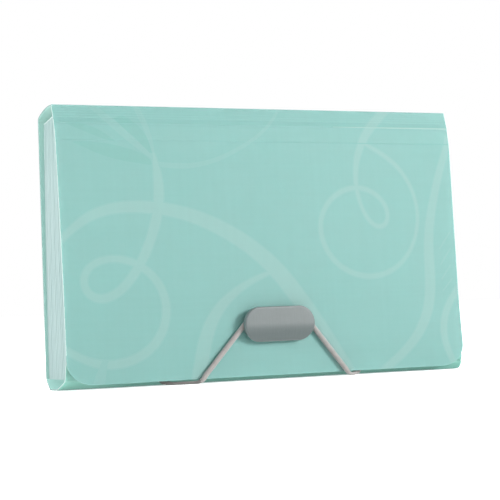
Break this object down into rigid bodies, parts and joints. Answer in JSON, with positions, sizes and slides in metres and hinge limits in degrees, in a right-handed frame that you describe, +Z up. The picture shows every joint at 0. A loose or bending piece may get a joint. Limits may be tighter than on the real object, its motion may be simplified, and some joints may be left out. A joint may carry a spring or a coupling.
{
  "type": "accordion file folder",
  "caption": "Expanding file folder of frosted plastic: fold-over flap held by a round elastic on a raised button, pleated ends and slim divided pockets.",
  "frame": {"origin": "bottom centre of the closed folder's bounding box, on the surface it stands on", "axes": "+X along the folder's width, +Y towards the back panel (the flap and button face -Y), +Z up"},
  "size_m": [0.258, 0.0362, 0.1562],
  "materials": {
    "cover_sheet": "frosted translucent polypropylene sheet with a fine linen grain",
    "pleated_film": "thin cloudy polypropylene film, pleated",
    "divider_film": "thin frosted polypropylene film",
    "button_plastic": "moulded grey plastic, satin",
    "elastic_cord": "braided round elastic, warm light grey",
    "cord_crimp": "plated crimp"
  },
  "bodies": {
    "root": {"back_panel": "cover_sheet", "bottom_panel": "cover_sheet", "elastic_run_left": "elastic_cord", "elastic_run_right": "elastic_cord", "elastic_end_left": "cord_crimp", "elastic_end_right": "cord_crimp", "gusset_left_13": "pleated_film", "gusset_right_13": "pleated_film"},
    "top": {"top_panel": "cover_sheet"},
    "flap": {"hinge_strip_upper": "cover_sheet", "hinge_strip_lower": "cover_sheet", "flap_panel": "cover_sheet", "button_cap": "button_plastic", "button_post": "button_plastic", "button_washer": "button_plastic"},
    "front": {"front_panel": "cover_sheet"},
    "loop": {"elastic_loop": "elastic_cord"},
    "divider_body_01": {"divider_01": "divider_film", "gusset_left_01": "pleated_film", "gusset_right_01": "pleated_film"},
    "divider_body_02": {"divider_02": "divider_film", "gusset_left_02": "pleated_film", "gusset_right_02": "pleated_film"},
    "divider_body_03": {"divider_03": "divider_film", "gusset_left_03": "pleated_film", "gusset_right_03": "pleated_film"},
    "divider_body_04": {"divider_04": "divider_film", "gusset_left_04": "pleated_film", "gusset_right_04": "pleated_film"},
    "divider_body_05": {"divider_05": "divider_film", "gusset_left_05": "pleated_film", "gusset_right_05": "pleated_film"},
    "divider_body_06": {"divider_06": "divider_film", "gusset_left_06": "pleated_film", "gusset_right_06": "pleated_film"},
    "divider_body_07": {"divider_07": "divider_film", "gusset_left_07": "pleated_film", "gusset_right_07": "pleated_film"},
    "divider_body_08": {"divider_08": "divider_film", "gusset_left_08": "pleated_film", "gusset_right_08": "pleated_film"},
    "divider_body_09": {"divider_09": "divider_film", "gusset_left_09": "pleated_film", "gusset_right_09": "pleated_film"},
    "divider_body_10": {"divider_10": "divider_film", "gusset_left_10": "pleated_film", "gusset_right_10": "pleated_film"},
    "divider_body_11": {"divider_11": "divider_film", "gusset_left_11": "pleated_film", "gusset_right_11": "pleated_film"},
    "divider_body_12": {"divider_12": "divider_film", "gusset_left_12": "pleated_film", "gusset_right_12": "pleated_film"}
  },
  "joints": [
    {"name": "flap_open", "type": "hinge", "parent": "top", "child": "flap", "pos_m": [0, -0.00206, 0.1562], "axis": [-1, 0, 0], "range_deg": [0, 250]},
    {"name": "top_fold", "type": "hinge", "parent": "root", "child": "top", "pos_m": [0, 0.01814, 0.1504], "axis": [-1, 0, 0], "range_deg": [0, 80]},
    {"name": "front_spread", "type": "hinge", "parent": "root", "child": "front", "pos_m": [0, -0.01034, 0.0052], "axis": [1, 0, 0], "range_deg": [0, 26]},
    {"name": "elastic_release", "type": "hinge", "parent": "root", "child": "loop", "pos_m": [0, -0.01438, 0.0034], "axis": [1, 0, 0], "range_deg": [0, 90], "deforming": ["elastic_loop"]},
    {"name": "divider_01_fan", "type": "hinge", "parent": "root", "child": "divider_body_01", "pos_m": [0, -0.00752, 0.0072], "axis": [1, 0, 0], "range_deg": [0, 24], "deforming": ["gusset_left_01", "gusset_right_01"]},
    {"name": "divider_02_fan", "type": "hinge", "parent": "root", "child": "divider_body_02", "pos_m": [0, -0.00543, 0.0072], "axis": [1, 0, 0], "range_deg": [0, 22], "deforming": ["gusset_left_02", "gusset_right_02"]},
    {"name": "divider_03_fan", "type": "hinge", "parent": "root", "child": "divider_body_03", "pos_m": [0, -0.00335, 0.0072], "axis": [1, 0, 0], "range_deg": [0, 20], "deforming": ["gusset_left_03", "gusset_right_03"]},
    {"name": "divider_04_fan", "type": "hinge", "parent": "root", "child": "divider_body_04", "pos_m": [0, -0.00126, 0.0072], "axis": [1, 0, 0], "range_deg": [0, 18], "deforming": ["gusset_left_04", "gusset_right_04"]},
    {"name": "divider_05_fan", "type": "hinge", "parent": "root", "child": "divider_body_05", "pos_m": [0, 0.00082, 0.0072], "axis": [1, 0, 0], "range_deg": [0, 16], "deforming": ["gusset_left_05", "gusset_right_05"]},
    {"name": "divider_06_fan", "type": "hinge", "parent": "root", "child": "divider_body_06", "pos_m": [0, 0.0029, 0.0072], "axis": [1, 0, 0], "range_deg": [0, 14], "deforming": ["gusset_left_06", "gusset_right_06"]},
    {"name": "divider_07_fan", "type": "hinge", "parent": "root", "child": "divider_body_07", "pos_m": [0, 0.00499, 0.0072], "axis": [1, 0, 0], "range_deg": [0, 12], "deforming": ["gusset_left_07", "gusset_right_07"]},
    {"name": "divider_08_fan", "type": "hinge", "parent": "root", "child": "divider_body_08", "pos_m": [0, 0.00707, 0.0072], "axis": [1, 0, 0], "range_deg": [0, 10], "deforming": ["gusset_left_08", "gusset_right_08"]},
    {"name": "divider_09_fan", "type": "hinge", "parent": "root", "child": "divider_body_09", "pos_m": [0, 0.00916, 0.0072], "axis": [1, 0, 0], "range_deg": [0, 8], "deforming": ["gusset_left_09", "gusset_right_09"]},
    {"name": "divider_10_fan", "type": "hinge", "parent": "root", "child": "divider_body_10", "pos_m": [0, 0.01124, 0.0072], "axis": [1, 0, 0], "range_deg": [0, 6], "deforming": ["gusset_left_10", "gusset_right_10"]},
    {"name": "divider_11_fan", "type": "hinge", "parent": "root", "child": "divider_body_11", "pos_m": [0, 0.01332, 0.0072], "axis": [1, 0, 0], "range_deg": [0, 4], "deforming": ["gusset_left_11", "gusset_right_11"]},
    {"name": "divider_12_fan", "type": "hinge", "parent": "root", "child": "divider_body_12", "pos_m": [0, 0.01541, 0.0072], "axis": [1, 0, 0], "range_deg": [0, 2], "deforming": ["gusset_left_12", "gusset_right_12", "gusset_left_13", "gusset_right_13"]}
  ],
  "couplings": [
    {"joint": "top_fold", "follows": "flap_open", "ratio": 0.32},
    {"joint": "front_spread", "follows": "flap_open", "ratio": 0.104},
    {"joint": "elastic_release", "follows": "flap_open", "ratio": 0.36},
    {"joint": "divider_01_fan", "follows": "flap_open", "ratio": 0.096},
    {"joint": "divider_02_fan", "follows": "flap_open", "ratio": 0.088},
    {"joint": "divider_03_fan", "follows": "flap_open", "ratio": 0.08},
    {"joint": "divider_04_fan", "follows": "flap_open", "ratio": 0.072},
    {"joint": "divider_05_fan", "follows": "flap_open", "ratio": 0.064},
    {"joint": "divider_06_fan", "follows": "flap_open", "ratio": 0.056},
    {"joint": "divider_07_fan", "follows": "flap_open", "ratio": 0.048},
    {"joint": "divider_08_fan", "follows": "flap_open", "ratio": 0.04},
    {"joint": "divider_09_fan", "follows": "flap_open", "ratio": 0.032},
    {"joint": "divider_10_fan", "follows": "flap_open", "ratio": 0.024},
    {"joint": "divider_11_fan", "follows": "flap_open", "ratio": 0.016},
    {"joint": "divider_12_fan", "follows": "flap_open", "ratio": 0.008}
  ]
}
